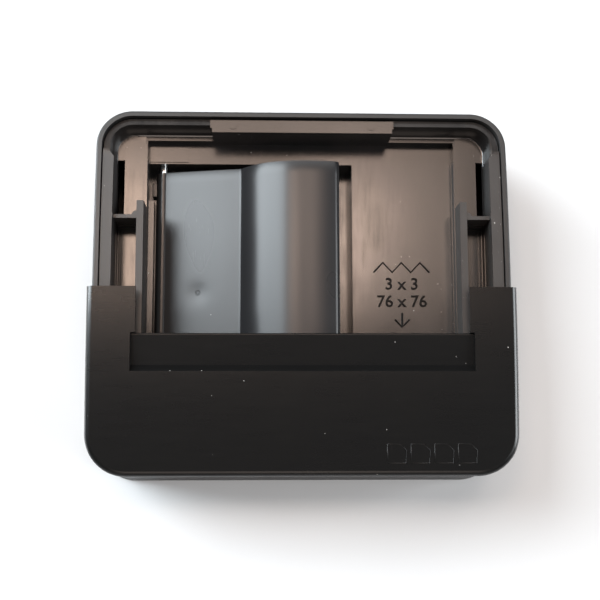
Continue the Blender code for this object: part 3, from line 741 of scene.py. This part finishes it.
# %% Strokes for the symbols
def ridge(name, points, radius, look, body, slot, closed=False):
    """A thin ridge with a round top along straight strokes, as one plain mesh."""
    line = bpy.data.curves.new(name, "CURVE")
    line.dimensions, line.bevel_depth, line.bevel_resolution = "3D", radius * MM, 3
    line.use_fill_caps = not closed
    stroke = line.splines.new("POLY")
    stroke.points.add(len(points) - 1)
    for point, place in zip(stroke.points, points):
        point.co = (*(Vector(place) * MM), 1)
    stroke.use_cyclic_u = closed
    path = bpy.data.objects.new(name, line)
    bpy.context.scene.collection.objects.link(path)
    bpy.context.view_layer.update()
    mesh = bpy.data.meshes.new_from_object(
        path.evaluated_get(bpy.context.evaluated_depsgraph_get()))
    bpy.data.objects.remove(path)
    piece = bpy.data.objects.new(name, mesh)
    bpy.context.scene.collection.objects.link(piece)
    mesh.materials.clear()
    mesh.materials.append(look)
    mesh.shade_smooth()
    return settle(piece, body, slot)


ridge("arrow_shaft", [(25.2, -4.6, 19.05), (25.2, -8.0, 19.05)], 0.25, MARK_PLASTIC,
      "base", "tray_plastic")
ridge("arrow_head", [(23.4, -6.3, 19.05), (25.2, -8.1, 19.05), (27.0, -6.3, 19.05)], 0.25,
      MARK_PLASTIC, "base", "tray_plastic")


def cover_top(y):
    return cover_high.z - CROWN_RADIUS + math.sqrt(CROWN_RADIUS ** 2 - y ** 2)


for number in range(4):
    left, front, side = 19.6 + 5.55 * number, -41.6, 4.4
    sheet = [(left, front), (left + side, front), (left + side, front + side - 1.4),
             (left + side - 1.4, front + side), (left, front + side)]
    ridge(f"note_symbol_{number + 1}", [(x, y, cover_top(y) - 0.05) for x, y in sheet], 0.16,
          COVER_PLASTIC, "cover", "cover_plastic", closed=True)

# %% [markdown]
# The pin, plate, weights, screws and feet keep the frame's own shapes, which are right as they are.
# Only their finishes change.

# %% Pieces that keep their shape
PLAIN = {"bottom_plate": PLATE_PLASTIC, "hinge_pin": BRIGHT_STEEL}
for name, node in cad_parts.items():
    if name.startswith("foot_"):
        PLAIN[name] = FOOT_RUBBER
    elif name.startswith(("screw_", "weight_screw_")):
        PLAIN[name] = BRIGHT_STEEL
    elif name.startswith("weight_"):
        PLAIN[name] = ROLLED_STEEL
for name, look in PLAIN.items():
    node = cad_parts[name]
    for material_slot in node.material_slots:
        material_slot.material = look
print(len(PLAIN), "pieces keep their shape")

# %% [markdown]
# A light grey table top that the lights turn nearly white. Black gloss shows mostly what it
# reflects, so each light is a panel placed where the piece that should shine will mirror it: a cool
# window low on the left for the leaf, and a warm card with two brighter lamps overhead for the
# pocket and the channels beside it. A warm panel in front reaches the deck. The soft lights at the
# back and on the right fill in, and the one at the back gives the shadow in front.

# %% Table
def table_top():
    made = Finish("pale_table", (0.86, 0.87, 0.88), 0.7)
    return made.finish(Base_Color=made.blend(
        made.noise(60, 3), (0.53, 0.54, 0.55), (0.565, 0.57, 0.575)))


floor_shape = bmesh.new()
bmesh.ops.create_grid(floor_shape, x_segments=1, y_segments=1, size=4.0)
table = as_piece("table", floor_shape, table_top())

# %% Lights
def panel_light(name, place, aim, size, radiance, colour):
    """A rectangular light of a given brightness, facing a point. Places are in metres."""
    light = bpy.data.lights.new(name, "AREA")
    light.shape, light.size, light.size_y = "RECTANGLE", size[0], size[1]
    light.energy = radiance * math.pi * size[0] * size[1]
    light.color = colour
    lamp = bpy.data.objects.new(name, light)
    lamp.location = place
    lamp.rotation_euler = (Vector(aim) - Vector(place)).to_track_quat("-Z", "Y").to_euler()
    lamp.visible_camera = False
    bpy.context.scene.collection.objects.link(lamp)
    print(name, "power", round(light.energy, 1), "W")


panel_light("window_left", (-0.93, 0.47, 0.69), (0, 0.47, -0.05), (0.66, 1.36), 14.0, (0.87, 0.95, 1.0))
panel_light("warm_left", (-0.19, 0.20, 0.95), (-0.19, 0.15, 0), (0.17, 0.14), 14.0, (1.0, 0.72, 0.56))
panel_light("warm_right", (0.09, 0.20, 0.95), (0.09, 0.15, 0), (0.07, 0.14), 14.0, (1.0, 0.74, 0.60))
panel_light("warm_card", (-0.03, 0.285, 0.97), (-0.03, 0.2, 0), (0.54, 0.28), 3.3, (1.0, 0.76, 0.62))
panel_light("warm_front", (0.0, -0.85, 0.85), (0, 0, 0), (0.60, 0.55), 3.4, (1.0, 0.84, 0.74))
panel_light("soft_back", (0.0, 1.10, 1.15), (0, 0, 0), (1.6, 0.7), 2.2, (1.0, 0.99, 0.98))
panel_light("soft_right", (1.1, -0.1, 0.7), (0, 0, 0), (0.9, 0.9), 7.0, (0.93, 0.97, 1.0))
panel_light("low_front", (0.0, -1.2, 0.45), (0, 0, 0), (1.2, 0.4), 0.5, (1.0, 0.86, 0.78))

world = bpy.data.worlds.new("room")
world.use_nodes = True
world.node_tree.nodes["Background"].inputs["Color"].default_value = (0.93, 0.96, 1.0, 1)
world.node_tree.nodes["Background"].inputs["Strength"].default_value = 0.13
bpy.context.scene.world = world
bpy.context.scene.view_settings.view_transform = "Standard"
